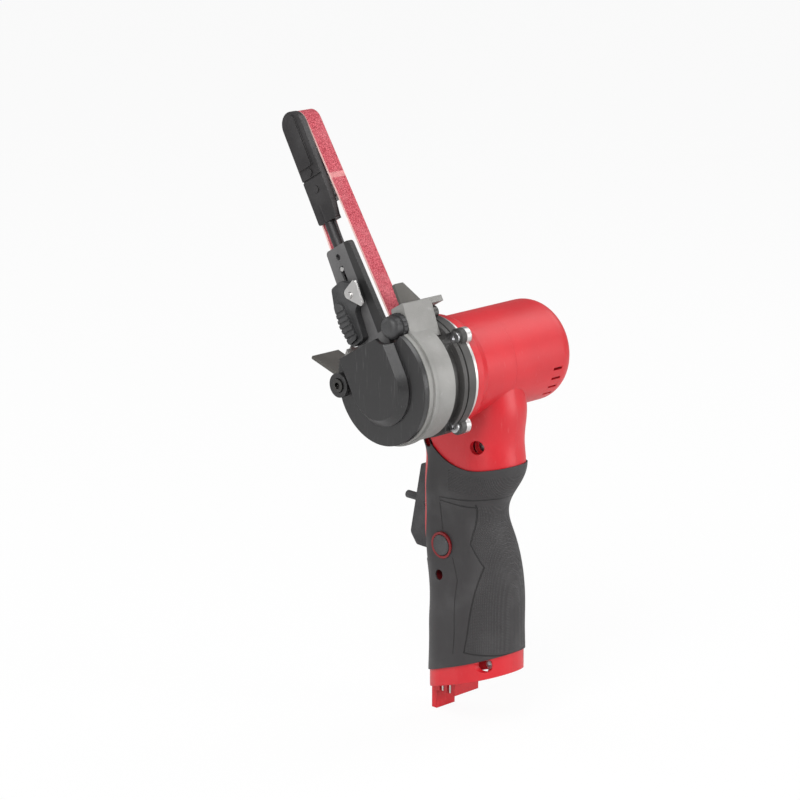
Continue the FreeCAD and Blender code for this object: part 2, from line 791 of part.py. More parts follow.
def build_head_housing():
    """The cast cup round the pulley with the clamp tower beside the arm."""
    hub = cylinder_x("head_hub", "head_hub_r", "head_hub_x", "belt_x - 0.9 - head_hub_x")
    back_x = "belt_x - 0.9"
    cup = cylinder_x("cup_outer", "cup_r", back_x, "cup_front_x - (belt_x - 0.9)")
    cavity = cylinder_x("cup_cavity", "cup_r - cup_wall", back_x + " + cup_back_thick", "30")
    hole = cylinder_x("cup_hole", "cup_back_bore", back_x, "30")
    slot_half = "belt_slot_half"
    slot = box("belt_slot", (back_x, "0 - " + slot_half, "4"), ("30", "2 * belt_slot_half", "40"))
    rim = cylinder_x("cup_rim", "cup_r + 0.9", "cup_front_x - 5.2", "2.2")
    rim_core = cylinder_x("cup_rim_core", "cup_r - 1", "cup_front_x - 6", "4")
    rim_ring = cut("cup_rim_ring", rim, [rim_core])
    dish = cut("cup_dish", join("cup_solid", [cup, rim_ring]), [cavity, hole, slot])

    inner = size("tower_inner")
    outer = size("tower_outer")
    top = size("tower_top")
    outline = rounded(
        [(inner, 8), (outer, 8), (outer, 17), (outer + size("tower_lean"), top), (inner, top)],
        [0, 0, 6, 0.8, 1.5])
    tower = slab("tower", [outline], "barrel_front_x + flange_len + collar_len + clear_gap",
                 "tower_front_x - barrel_front_x - flange_len - collar_len - clear_gap")
    tower_relief = cylinder_x("tower_relief", "neck_r + 0.5", "30", "belt_x - 0.9 - 30")
    tower_cut = cut("tower_solid", tower, [tower_relief])
    tab = box("tab", ("tab_rear_x", "tower_inner + 2", "tower_top - tab_thick"),
              ("tower_front_x - tab_rear_x", "tower_outer + tower_lean - tower_inner - 2.6",
               "tab_thick"))

    bosses = [cylinder_x("cover_post", "5", back_x, f"cup_front_x - ({back_x})",
                         "cover_boss_w", "cover_boss_l")]
    for index, (w, l) in enumerate(BRACKET_SCREWS):
        bosses.append(cylinder_x(f"bracket_post_{index}", "boss_r", back_x,
                                 f"bracket_x - ({back_x})", str(w), str(l)))
    housing = join("head_solid", [hub, dish, tower_cut, tab] + bosses)
    cuts = [
        cylinder_x("spindle_seat", "bearing_r", "head_hub_x - 1", "30"),
        cylinder_x("cover_thread", "cover_screw_r", "cup_front_x - 9", "12",
                   "cover_boss_w", "cover_boss_l"),
        cylinder_x("knob_hole", "knob_shaft_r", "tower_front_x - 9", "12", "knob_w", "knob_l"),
        cylinder_x("clamp_hole", "clamp_r", "barrel_front_x", "20", "clamp_w", "clamp_l"),
        cylinder_x("knob_relief", "knob_rib_r + 0.9", "tower_front_x + 0.1", "30",
                   "knob_w", "knob_l"),
    ]
    for index, (w, l) in enumerate(BRACKET_SCREWS):
        cuts.append(cylinder_x(f"bracket_thread_{index}", "1.3", "bracket_x - 7", "12",
                               str(w), str(l)))
    keep(place_on_arm(cut("head_casting", housing, cuts)), "head_housing")

    seat = "barrel_front_x + flange_len + collar_len + clear_gap"
    shank = cylinder_x("clamp_shank", "clamp_r", seat, "8", "clamp_w", "clamp_l")
    head = cylinder_x("clamp_head", "clamp_head_r", seat + " - 3.1", "3.1", "clamp_w", "clamp_l")
    socket = cylinder_x("clamp_socket", "1.4", seat + " - 4.1", "3", "clamp_w", "clamp_l")
    keep(place_on_arm(cut("clamp_bolt", join("clamp_solid", [shank, head]), [socket])),
         "head_clamp_screw")


# Screws that hold the arm bracket: across and along the arm
BRACKET_SCREWS = [(-20.5, -4.5), (-15.0, -14.5)]


def build_cover():
    """Pulley cover: a round dish with a bevelled channel that follows the belt."""
    front = size("cup_front_x") + 0.2
    rim = size("cover_rim")
    dome = size("cover_dome")
    top = size("cover_top")
    radius = size("cover_dome_r")
    bevel = size("cover_bevel")
    wall = size("cover_wall")
    disc = bar_shape(size("cover_r"), front, rim, 0, 0)
    boss = bar_shape(size("cover_boss_r"), front, rim + dome - 1.2,
                     size("cover_boss_w"), size("cover_boss_l"))

    def channel(inset, start, height, slope):
        faces = []
        for level, shrink in ((start, 0.0), (start + height - slope, 0.0), (start + height, slope)):
            half = radius - inset - shrink
            turn = [
                Vector(level, half, 60),
                Vector(level, half, 0),
                Vector(level, 0, -half),
                Vector(level, -half, 0),
                Vector(level, -half, 60),
            ]
            wire = Part.Wire([
                Part.makeLine(turn[0], turn[1]),
                Part.Arc(turn[1], turn[2], turn[3]).toShape(),
                Part.makeLine(turn[3], turn[4]),
                Part.makeLine(turn[4], turn[0]),
            ])
            faces.append(wire)
        return Part.makeLoft(faces, True, True)

    raised = channel(0, front + rim - 0.5, dome + 0.5, bevel).common(
        bar_shape(size("cover_r"), front, rim + dome + 2, 0, 0))
    hollow = channel(wall, front - 1, rim + dome + 1 - wall, bevel)
    shape = disc.fuse([boss, raised])
    hollow = hollow.cut(bar_shape(size("cover_boss_r") + 0.4, front - 2, 20,
                                  size("cover_boss_w"), size("cover_boss_l")))
    shape = shape.cut(hollow)
    shape = shape.cut(block_shape((front - 2, -60, top), (front + 30, 60, 90)))
    notch = bar_shape(size("knob_rib_r") + 0.9, front - 2, 30, size("knob_w"), size("knob_l"))
    shape = shape.cut(notch)
    screw_hole = bar_shape(size("cover_screw_r"), front - 2, 30,
                           size("cover_boss_w"), size("cover_boss_l"))
    counterbore = bar_shape(size("cover_screw_head_r") + 0.2, front + rim + dome - 3.4, 10,
                            size("cover_boss_w"), size("cover_boss_l"))
    shape = shape.cut([screw_hole, counterbore])
    keep(place_on_arm(solid("cover", shape)), "pulley_cover")

    head_x = front + rim + dome - 3.4
    shank = bar_shape(size("cover_screw_r"), front - 7, head_x - front + 7,
                      size("cover_boss_w"), size("cover_boss_l"))
    head = bar_shape(size("cover_screw_head_r"), head_x, 3.0,
                     size("cover_boss_w"), size("cover_boss_l"))
    socket = bar_shape(1.6, head_x + 1, 4, size("cover_boss_w"), size("cover_boss_l"))
    keep(place_on_arm(solid("cover_bolt", shank.fuse(head).cut(socket))), "cover_screw")


def build_deflectors():
    """Two sheet fins: one forward of the cup and one on top of the tower."""
    radius = size("cup_r")
    start = size("cup_front_x") - 17.6
    fin = rounded([(-26.2, 13.4), (-41.4, 30.0), (-42.7, 28.9), (-27.5, 12.3)], [0, 0.4, 0.4, 0])
    plate = slab("lower_fin_plate", [fin], str(start), "17.4")
    trim = cylinder_x("lower_fin_trim", "cup_r + 0.9", str(start - 1), "20")
    post = cylinder_x("lower_fin_post", "5", str(start - 1), "20", "cover_boss_w", "cover_boss_l")
    keep(place_on_arm(cut("lower_fin", plate, [trim, post])), "lower_spark_deflector")

    top = size("tower_top")
    outline = [Vector(46.8, top, 0), Vector(60.0, top, 0), Vector(60.0, top + 10, 0),
               Vector(53.8, top + 10, 0)]
    edges = rounded([(point.x, point.y) for point in outline], [0, 0, 0.8, 0.8])
    plate = slab("upper_fin_plate", [edges], "0 - tower_outer - 1.2", "1.6", "XZ_Plane")
    keep(place_on_arm(plate), "upper_spark_deflector")


def build_bracket():
    """The cast arm bracket: a plate in front of the belt with the guide rod's sleeve."""
    outline = rounded(
        [(-8.4, 71.0), (9.4, 71.0), (12.0, 22.0), (6.0, -2.0), (-9.0, -18.4), (-18.6, -18.4),
         (-24.3, -7.0), (-21.8, 2.0), (-11.0, 20.0), (-9.6, 45.0)],
        [2.0, 2.0, 8.0, 8.0, 5.0, 3.8, 3.8, 8.0, 20.0, 40.0])
    plate = slab("bracket_plate", [outline], "bracket_x", "bracket_thick")
    half = "rod_r + sleeve_wall"
    sleeve = box("sleeve", (f"rod_x - ({half}) + 0.2", f"rod_w - ({half})", "sleeve_low"),
                 (f"bracket_x + bracket_thick - rod_x + {half} - 0.2", f"2 * ({half})",
                  "sleeve_high - sleeve_low"))
    bore = cylinder_z("sleeve_bore", "rod_r + running_gap", "sleeve_low + 2", "60",
                      "rod_x", "rod_w")
    slot_half = "guide_pin_r + slot_gap"
    slot_low = f"guide_pin_l - nose_travel - ({slot_half})"
    slot = box("pin_slot", ("rod_x", f"rod_w - ({slot_half})", slot_low),
               ("10", f"2 * ({slot_half})", f"nose_travel + 2 * ({slot_half})"))
    window = cylinder_x("rod_window", "1.5", "rod_x", "10", "rod_w + 0.5", "66")
    pin_hole = cylinder_x("lever_pin_hole", "lever_pin_r", "bracket_x - 1", "10",
                          "lever_pivot_w", "lever_pivot_l")
    cuts = [bore, slot, window, pin_hole]
    screws = []
    for index, (w, l) in enumerate(BRACKET_SCREWS):
        cuts.append(cylinder_x(f"bracket_hole_{index}", "1.3", "bracket_x - 1", "10",
                               str(w), str(l)))
        shank = bar_shape(1.3, size("bracket_x") - 5, 5 + size("bracket_thick"), w, l)
        head = bar_shape(2.6, size("bracket_x") + size("bracket_thick"), 1.8, w, l)
        socket = bar_shape(1.1, size("bracket_x") + size("bracket_thick") + 0.7, 3, w, l)
        screws.append(shank.fuse(head).cut(socket))
    bracket = cut("bracket", join("bracket_solid", [plate, sleeve]), cuts)
    keep(place_on_arm(bracket), "arm_bracket")
    keep(place_on_arm(solid("bracket_fasteners", Part.makeCompound(screws))), "bracket_screws")

    pin = cylinder_x("lever_axle", "lever_pin_r", "bracket_x",
                     "lever_x + lever_thick + lever_plate_thick + 0.8 - bracket_x",
                     "lever_pivot_w", "lever_pivot_l")
    keep(place_on_arm(pin), "lever_pivot_pin")

    helix = Part.makeHelix(
        (size("rod_low") - size("sleeve_low") - 2.9) / size("spring_turns"),
        size("rod_low") - size("sleeve_low") - 2.9, size("spring_r"))
    section = Part.Wire(Part.makeCircle(size("spring_wire"), Vector(size("spring_r"), 0, 0),
                                        Vector(0, 1, 0)))
    coil = Part.Wire(helix).makePipeShell([section], True, True)
    coil.translate(Vector(size("rod_x"), size("rod_w"), size("sleeve_low") + 2.45))
    keep(place_on_arm(solid("tension_coil", coil)), "tension_spring")


def build_lever():
    """The release lever: a moulded finger pad with a silver cam plate on its pivot."""
    w = size("lever_pivot_w")
    l = size("lever_pivot_l")
    start = size("lever_x")
    thick = size("lever_thick")
    outline = rounded(
        [(w - 11.6, l + 7.4), (w - 4.0, l + 8.6), (w + 4.2, l + 4.0), (w + 4.2, l - 4.6),
         (w - 1.6, l - 7.0), (w - 3.0, l - 21.6), (w - 12.6, l - 22.8), (w - 14.8, l - 11.0),
         (w - 14.6, l - 2.0)],
        [2.0, 2.0, 3.0, 2.5, 4.0, 1.5, 2.0, 14.0, 5.0])
    wire = Part.Wire([edge.toShape() for edge in outline])
    body = Part.Face(wire).extrude(Vector(0, 0, thick))
    pad_outline = rounded(
        [(w - 12.2, l + 1.0), (w - 7.0, l - 2.0), (w - 5.2, l - 20.0), (w - 12.0, l - 21.4),
         (w - 14.0, l - 11.0)],
        [2.0, 2.0, 1.5, 1.5, 10.0])
    pad = Part.Face(Part.Wire([edge.toShape() for edge in pad_outline]))
    body = body.fuse(pad.extrude(Vector(0, 0, thick + 1.8)))
    ribs = []
    for index in range(6):
        ribs.append(block_shape((w - 16, l - 18.5 + 2.6 * index, thick + 1.2),
                                (w - 5, l - 17.5 + 2.6 * index, thick + 3)))
    body = body.cut(ribs)
    turn = FreeCAD.Placement(Vector(start, 0, 0), FreeCAD.Rotation(Vector(1, 1, 1), 120))
    body = body.transformGeometry(turn.toMatrix())
    hole = bar_shape(size("lever_pin_r") + size("running_gap"), start - 1, thick + 6, w, l)
    keep(place_on_arm(solid("lever", body.cut(hole))), "release_lever")

    triangle = rounded([(w + 7.0, l + 6.2), (w - 5.6, l + 2.2), (w + 6.4, l - 8.6)],
                       [1.2, 2.6, 1.2])
    plate = slab("cam", [triangle, circle(w, l, size("lever_pin_r") + size("running_gap"))],
                 "lever_x + lever_thick", "lever_plate_thick")
    keep(place_on_arm(plate), "lever_cam_plate")


def build_knob():
    """Tracking knob: a domed cap on a ribbed ring, turning on a fixed stud."""
    x = size("knob_x")
    w = size("knob_w")
    l = size("knob_l")
    length = size("knob_len")
    radius = size("knob_r")
    ring = bar_shape(size("knob_rib_r"), x, 2.6, w, l)
    grooves = []
    for index in range(16):
        angle = index * 2 * math.pi / 16
        grooves.append(bar_shape(0.45, x - 1, 5, w + (size("knob_rib_r") + 0.1) * math.cos(angle),
                                 l + (size("knob_rib_r") + 0.1) * math.sin(angle)))
    cap = bar_shape(radius, x, length, w, l)
    rim = [edge for edge in cap.Edges if edge.BoundBox.XMin > x + length - 0.1]
    cap = cap.makeFillet(3.0, rim)
    knob = ring.cut(grooves).fuse(cap)
    bore = bar_shape(size("knob_shaft_r") + size("running_gap"), x - 1, length - 1.6, w, l)
    keep(place_on_arm(solid("knob", knob.cut(bore))), "tracking_knob")
    stud = cylinder_x("stud", "knob_shaft_r", "tower_front_x - 8", "knob_len + 5.5",
                      "knob_w", "knob_l")
    keep(place_on_arm(stud), "tracking_stud")


def belt_half(along):
    """Half the belt loop's inner width, this far along the arm."""
    low = size("pulley_r") + size("belt_gap")
    high = size("roller_r") + size("belt_gap")
    distance = size("centre_distance")
    lean = math.asin((low - high) / distance)
    return low / math.cos(lean) - along * math.tan(lean)


def build_nose():
    """Nose: face plate with the roller at its tip, the frame inside the belt and its platens."""
    half = size("nose_half")
    tip = size("centre_distance")
    low = size("nose_low")
    thick = size("nose_plate_thick")
    start = size("nose_plate_x")
    outline = rounded(
        [(-half, low), (half - 1.4, low), (half, low + 8), (half, tip + half), (-half, tip + half)],
        [1.2, 1.2, 0, half - 0.01, half - 0.01])
    plate = slab("face_plate", [outline], "nose_plate_x", "nose_plate_thick")
    panel_outline = rounded(
        [(-half + 0.9, 112.0), (3.4, 112.0), (3.4, tip + half - 1.6), (-half + 0.9, tip + half - 1.6)],
        [0.8, 0.8, 2.5, half - 1.6])
    panel = slab("face_panel", [panel_outline], "nose_plate_x + nose_plate_thick", "nose_panel")
    reach = "rod_r + sleeve_wall"
    socket = box("rod_socket", (f"rod_x - ({reach}) + 0.3", f"rod_w - ({reach})", "nose_low"),
                 (f"nose_plate_x + 1 - rod_x + {reach} - 0.3", f"2 * ({reach})",
                  "nose_frame_low - nose_low"))
    rod_hole = cylinder_z("rod_hole", "rod_r", "nose_low - 1", "rod_high - nose_low + 1",
                          "rod_x", "rod_w")
    pin_hole = cylinder_x("roller_pin_hole", "roller_pin_r", "nose_plate_x - 1", "4.2",
                          z="centre_distance")
    rivet_holes = []
    frame_holes = []
    for index, along in enumerate(RIVETS):
        rivet_holes.append(cylinder_x(f"rivet_hole_{index}", "rivet_r", "nose_plate_x - 1", "8",
                                      z=str(along)))
        frame_holes.append(cylinder_x(f"frame_hole_{index}", "rivet_r", "belt_x", "20",
                                      z=str(along)))
    groove = box("face_groove", (f"nose_plate_x + nose_plate_thick - 0.7", "0 - 20", "106"),
                 ("5", "40", "0.9"))
    face = cut("nose_face", join("nose_face_solid", [plate, panel, socket]),
               [rod_hole, pin_hole, groove] + rivet_holes)
    keep(place_on_arm(face), "nose_face_plate")

    gap = size("platen_gap") + size("platen_thick")
    frame_low = size("nose_frame_low")
    frame_high = size("nose_frame_high")
    wide = belt_half(frame_low) - gap
    narrow = belt_half(frame_high) - gap
    frame = slab("frame", [rounded(
        [(-wide, frame_low), (wide, frame_low), (narrow, frame_high), (-narrow, frame_high)],
        [1, 1, 0.8, 0.8])], "belt_x + 0.5", "nose_plate_x - belt_x - 0.5")
    keep(place_on_arm(cut("nose_core", frame, frame_holes)), "nose_frame")

    platens = []
    for side in (1, -1):
        corners = [
            Vector(size("belt_x") + 0.3, side * wide, frame_low),
            Vector(size("belt_x") + 0.3, side * (wide + size("platen_thick")), frame_low),
            Vector(size("belt_x") + 0.3, side * (narrow + size("platen_thick")), frame_high),
            Vector(size("belt_x") + 0.3, side * narrow, frame_high),
        ]
        face = Part.Face(Part.makePolygon(corners + corners[:1]))
        platens.append(face.extrude(Vector(size("belt_width") - 0.6, 0, 0)))
    keep(place_on_arm(solid("platens", Part.makeCompound(platens))), "belt_platens")

    shapes = []
    for along in RIVETS:
        length = start + thick - size("belt_x") - 2
        rivet = bar_shape(size("rivet_r"), size("belt_x") + 2, length, 0, along)
        cap = bar_shape(size("rivet_r") + 0.5, start + thick, 0.5, 0, along)
        shapes.append(rivet.fuse(cap))
    keep(place_on_arm(solid("rivets", Part.makeCompound(shapes))), "nose_rivets")

    rod = cylinder_z("rod", "rod_r", "rod_low", "rod_high - rod_low", "rod_x", "rod_w")
    cross = cylinder_x("rod_cross_hole", "guide_pin_r", "rod_x", "10", "rod_w", "guide_pin_l")
    keep(place_on_arm(cut("rod_cut", rod, [cross])), "guide_rod")
    pin = cylinder_x("cross_pin", "guide_pin_r", "rod_x", "bracket_x + bracket_thick - rod_x",
                     "rod_w", "guide_pin_l")
    keep(place_on_arm(pin), "guide_pin")

    axle = cylinder_x("nose_axle", "roller_pin_r", "belt_x + 0.3",
                      "nose_plate_x + 3.2 - belt_x - 0.3", z="centre_distance")
    keep(place_on_arm(axle), "roller_pin")
    roller = cylinder_x("roller_outer", "roller_r", "belt_x", "belt_width", z="centre_distance")
    bore = cylinder_x("roller_bore", "roller_bearing_r", "belt_x - 1", "belt_width + 2",
                      z="centre_distance")
    keep(place_on_arm(cut("nose_wheel", roller, [bore])), "nose_roller")
    ring = cylinder_x("needle_outer", "roller_bearing_r", "belt_x", "belt_width",
                      z="centre_distance")
    hole = cylinder_x("needle_bore", "roller_pin_r + running_gap", "belt_x - 1",
                      "belt_width + 2", z="centre_distance")
    keep(place_on_arm(cut("needle_bearing", ring, [hole])), "roller_bearing")


# Rivets through the nose: distance along the arm
RIVETS = [100.6, 109.4]


def build_trigger():
    half = size("trigger_half")
    low = size("trigger_low")
    high = size("trigger_high")
    outline = rounded(
        [(-33.4, high), (-40.9, low + 6.2), (-36.6, low + 0.4), (-22.4, low), (-22.4, high - 1),
         (-27.0, high)],
        [1.5, 3.0, 2.0, 1.0, 1.0, 1.0])
    lever = slab("trigger_pad", [outline], "0 - trigger_half", "2 * trigger_half")
    pivot = cylinder_x("trigger_bore", "trigger_pin_r + running_gap", "0 - 20", "40",
                       "trigger_pivot_y", "trigger_pivot_z")
    slot = box("lock_slot", ("0 - lock_half - 0.3", "0 - 60", "lock_z - 5.2"),
               ("2 * lock_half + 0.6", "60 + lock_y + 4", "8.6"))
    pin_hole = cylinder_x("lock_bore", "lock_pin_r", "0 - 20", "40", "lock_y", "lock_z")
    keep(cut("trigger_lever", lever, [pivot, slot, pin_hole]), "trigger")

    pin_half = half + 2.2
    pin = cylinder_x("trigger_axle", "trigger_pin_r", f"0 - {pin_half}", f"{2 * pin_half}",
                     "trigger_pivot_y", "trigger_pivot_z")
    keep(pin, "trigger_pivot_pin")
    lock_pin = cylinder_x("lock_axle", "lock_pin_r", "0 - trigger_half + 0.5",
                          "2 * trigger_half - 1", "lock_y", "lock_z")
    keep(lock_pin, "lock_off_pin")

    eye = bar_shape(3.0, -size("lock_half"), 2 * size("lock_half"), size("lock_y"), size("lock_z"))
    tip = size("lock_tip_y")
    stem = Part.makeCylinder(size("lock_half"), size("lock_y") - tip,
                             Vector(0, tip, size("lock_z")), Y_AXIS)
    stem = stem.makeFillet(0.6, [edge for edge in stem.Edges if edge.BoundBox.YMax < tip + 0.1])
    hole = bar_shape(size("lock_pin_r") + size("running_gap"), -9, 18,
                     size("lock_y"), size("lock_z"))
    keep(solid("lock_lever", eye.fuse(stem).cut(hole)), "lock_off_lever")


def build_controls():
    """Power switch, its plunger, the direction button and the control board."""
    body = box("switch_case", ("0 - switch_half", "switch_front_y", "switch_low"),
               ("2 * switch_half", "switch_len", "switch_tall"))
    hole = doc.addObject("Part::Cylinder", "plunger_hole")
    hole.Placement = FreeCAD.Placement(Vector(), FreeCAD.Rotation(X_AXIS, -90))
    bind(hole, "Radius", "plunger_r + running_gap")
    bind(hole, "Height", "10")
    bind(hole, "Placement.Base.y", "switch_front_y - 1")
    bind(hole, "Placement.Base.z", "plunger_z")
    keep(cut("switch", body, [hole]), "switch_body")

    plunger = doc.addObject("Part::Cylinder", "plunger")
    plunger.Placement = FreeCAD.Placement(Vector(), FreeCAD.Rotation(X_AXIS, -90))
    bind(plunger, "Radius", "plunger_r")
    bind(plunger, "Height", "switch_front_y + 4 + 22.1")
    bind(plunger, "Placement.Base.y", "0 - 22.1")
    bind(plunger, "Placement.Base.z", "plunger_z")
    keep(plunger, "switch_plunger")

    button = cylinder_x("button_bar", "button_r", "0 - button_half", "2 * button_half",
                        "button_y", "button_z")
    ends = doc.addObject("Part::Chamfer", "button_ends")
    ends.Base = button
    doc.recompute()
    ends.Edges = [(1, 0.5, 0.5), (3, 0.5, 0.5)]
    keep(ends, "direction_button")

    board = box("board", ("0 - board_half", "0 - board_len / 2", "board_z"),
                ("2 * board_half", "board_len", "board_thick"))
    keep(board, "control_board")


def build_battery_connection():
    """The terminal holder with four contact blades in slots along its two flanks."""
    front = -20.0
    case = box("terminal_case", ("0 - block_half", str(front), "block_low"),
               ("2 * block_half", "block_thick", "block_high - block_low"))
    slots = []
    blades = []
    half = size("block_half")
    depth = size("blade_slot_depth")
    width = size("blade_slot_width")
    thin = size("blade_thick")
    for side, word in ((1, "left"), (-1, "right")):
        for index in range(2):
            y = front + 2.4 + index * size("blade_pitch")
            low = "block_half - blade_slot_depth" if side > 0 else "0 - block_half - 1"
            slots.append(box(f"{word}_contact_slot_{index}",
                             (low, str(y), "block_low - 1"),
                             ("blade_slot_depth + 1", "blade_slot_width",
                              "block_high - block_low - 3")))
            inner, outer = sorted((side * (half - depth), side * (half - 0.6)))
            middle = y + width / 2
            blades.append(block_shape((inner, middle - thin / 2, size("block_low") + 0.6),
                                      (outer, middle + thin / 2, size("block_high") - 4)))
    keep(cut("terminal_holder", case, slots), "terminal_block")
    keep(solid("blades", Part.makeCompound(blades)), "battery_terminals")


def check_and_export():
    doc.recompute()
    for item in doc.Objects:
        if "Invalid" in item.State or "Error" in item.State:
            raise RuntimeError(f"{item.Name} did not compute: {item.State}")
    os.makedirs("parts", exist_ok=True)
    for item in nodes:
        shape = item.Shape
        if shape.isNull() or not shape.isValid() or not shape.Solids:
            raise RuntimeError(f"{item.Label} has no valid solid")
        shape.exportStep(f"parts/{item.Label}.step")
        print(f"{item.Label:24s} solids {len(shape.Solids)} volume {shape.Volume:10.1f}")


fill_sheet()
build_shells()
build_screws()
build_motor()
build_fan()
build_flange()
build_collar()
build_drive()
build_belt()
build_head_housing()
build_cover()
build_deflectors()
build_bracket()
build_lever()
build_knob()
build_nose()
build_trigger()
build_controls()
build_battery_connection()
check_and_export()
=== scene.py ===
"""Dresses the cordless belt file: finishes for its solids, and the fine pieces on top of them."""

import json
import math

import bmesh
import bpy
from bpy.props import FloatProperty, FloatVectorProperty, PointerProperty
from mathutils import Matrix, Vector, noise


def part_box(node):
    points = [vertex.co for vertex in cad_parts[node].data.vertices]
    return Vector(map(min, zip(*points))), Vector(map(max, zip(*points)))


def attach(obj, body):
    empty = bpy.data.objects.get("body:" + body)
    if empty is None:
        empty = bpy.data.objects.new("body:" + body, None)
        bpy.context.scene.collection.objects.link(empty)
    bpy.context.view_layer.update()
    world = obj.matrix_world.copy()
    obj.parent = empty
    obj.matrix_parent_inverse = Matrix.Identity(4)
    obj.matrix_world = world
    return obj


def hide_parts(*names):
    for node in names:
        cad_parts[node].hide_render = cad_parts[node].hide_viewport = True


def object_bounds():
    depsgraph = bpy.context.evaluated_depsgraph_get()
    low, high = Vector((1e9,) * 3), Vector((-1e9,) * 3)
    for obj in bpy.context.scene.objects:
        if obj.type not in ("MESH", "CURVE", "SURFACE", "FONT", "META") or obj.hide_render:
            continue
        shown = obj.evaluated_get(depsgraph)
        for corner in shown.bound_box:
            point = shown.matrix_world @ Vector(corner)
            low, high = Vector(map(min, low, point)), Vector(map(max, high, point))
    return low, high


bl_info = {
    "name": "Belt file",
    "version": (1, 0, 0),
    "blender": (4, 5, 0),
    "location": "View3D > Sidebar > Belt file",
    "description": "Dresses a cordless belt file with its finishes and fine pieces",
    "category": "Object",
}

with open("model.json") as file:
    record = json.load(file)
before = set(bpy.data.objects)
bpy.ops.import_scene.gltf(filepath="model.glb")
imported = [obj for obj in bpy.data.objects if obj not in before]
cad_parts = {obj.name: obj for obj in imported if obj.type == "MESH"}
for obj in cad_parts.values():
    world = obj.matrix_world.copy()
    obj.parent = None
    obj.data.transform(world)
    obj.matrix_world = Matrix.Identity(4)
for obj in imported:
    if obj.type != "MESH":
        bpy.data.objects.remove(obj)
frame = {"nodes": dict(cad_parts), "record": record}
NODES = frame["nodes"]
CAD_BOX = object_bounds()

MM = 0.001
JOINTS = {joint["name"]: joint for joint in frame["record"]["behaviour"]["joints"]}
AXIS = Vector(JOINTS["head_swivel"]["pos_m"])
ALONG = Vector(JOINTS["nose_slide"]["axis"]).normalized()
ACROSS = ALONG.cross(Vector((1, 0, 0)))
NOSE_L = (Vector(JOINTS["roller_spin"]["pos_m"]) - AXIS).dot(ALONG)
NOSE_AXIS = AXIS + ALONG * NOSE_L

BELT_X = [corner.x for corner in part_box("sanding_belt")]
BELT_MIDDLE = (BELT_X[0] + BELT_X[1]) / 2
BELT_HALF = (BELT_X[1] - BELT_X[0]) / 2
PULLEY_R = (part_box("drive_pulley")[1].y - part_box("drive_pulley")[0].y) / 2
ROLLER_R = (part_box("nose_roller")[1].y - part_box("nose_roller")[0].y) / 2
BELT_GAP = 0.1 * MM
BELT_STEP = 0.7 * MM
BELT_ROWS = 13
CLOTH_SHARE = 0.93
SPLICE_ALONG = 103.8 * MM

BUTTON = (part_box("direction_button")[0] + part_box("direction_button")[1]) / 2
BUTTON_RING_R = 7.8 * MM
SCREW_HOLE_R = 2.6 * MM
# Where the housing's screws go in, and where the red gets painted shade: distance back and height
# in millimetres
SCREW_PLACES = [(14.0, 124.7), (-20.0, 121.0), (18.4, 13.4), (-9.6, 55.0)]

# Lines moulded into the grip, from the foot up: distance back and height in millimetres
KNURL_LINE = [(9.9, 19.4), (14.6, 51.1), (17.1, 63.7), (9.4, 74.5), (10.8, 94.2)]
MIDDLE_LINE = [(3.1, 17.6), (3.9, 55.3), (-1.2, 65.4)]
FINGER_LINE = [(-9.1, 77.5), (-11.4, 91.6)]
KNURL_PITCH = 1.6 * MM
LINE_WIDTH = 0.42 * MM

SHEET_PITCH = 0.7 * MM
STRAND_PITCH = 0.8 * MM
# Painted shade on the bracket's belt side: how far across the arm it starts, and from where along
# the arm
BRACKET_SHADE_PAST = 5.6 * MM
BRACKET_SHADE_FROM = 24.0 * MM

FLOOR_SIZE = 4.0
FLOOR_GAP = 0.4 * MM
FLOOR_WHITE = 0.93
WORLD_LIGHT = 0.34
LAMP_AIM = Vector((0.02, -0.02, 0.14))
# Lamps: name, place, size and power
LAMPS = [
    ("key", (0.9, 0.35, 1.1), 0.7, 13.0),
    ("cheek", (1.3, 0.45, 0.45), 0.5, 5.0),
    ("back", (-0.6, 1.25, 0.35), 0.5, 9.0),
    ("rim", (-0.9, 0.2, 0.9), 0.8, 6.0),
    ("front", (0.4, -1.2, 0.8), 1.0, 5.0),
]
CAMERA_TURN = math.radians(135)
CAMERA_RISE = math.radians(15)
CAMERA_AIM = Vector((0.0272, -0.0272, 0.1431))
PICTURE_WIDTH = 800 * 0.49 * MM


class FileSizes(bpy.types.PropertyGroup):
    belt_thickness: FloatProperty(
        name="Belt thickness", description="Cloth and grit together",
        default=0.001, unit="LENGTH")
    grit_height: FloatProperty(
        name="Grit height", description="How far the grains stand out of the cloth",
        default=0.00016, unit="LENGTH")
    edge_softness: FloatProperty(
        name="Edge softness", description="Radius that moulded and cast edges look rounded to",
        default=0.00045, unit="LENGTH")


class FileColours(bpy.types.PropertyGroup):
    housing: FloatVectorProperty(
        name="Housing", description="Moulded housing", subtype="COLOR",
        default=(0.55, 0.006, 0.014), min=0, max=1)
    grip: FloatVectorProperty(
        name="Grip", description="Rubber of the grip", subtype="COLOR",
        default=(0.024, 0.022, 0.023), min=0, max=1)
    cover: FloatVectorProperty(
        name="Cover", description="Cover of the pulley", subtype="COLOR",
        default=(0.010, 0.0095, 0.010), min=0, max=1)
    casting: FloatVectorProperty(
        name="Casting", description="Belt head's casting", subtype="COLOR",
        default=(0.24, 0.236, 0.225), min=0, max=1)
    arm: FloatVectorProperty(
        name="Arm", description="Coated metal of the arm", subtype="COLOR",
        default=(0.026, 0.024, 0.025), min=0, max=1)
    belt: FloatVectorProperty(
        name="Belt", description="Grit of the sanding belt", subtype="COLOR",
        default=(0.56, 0.035, 0.065), min=0, max=1)


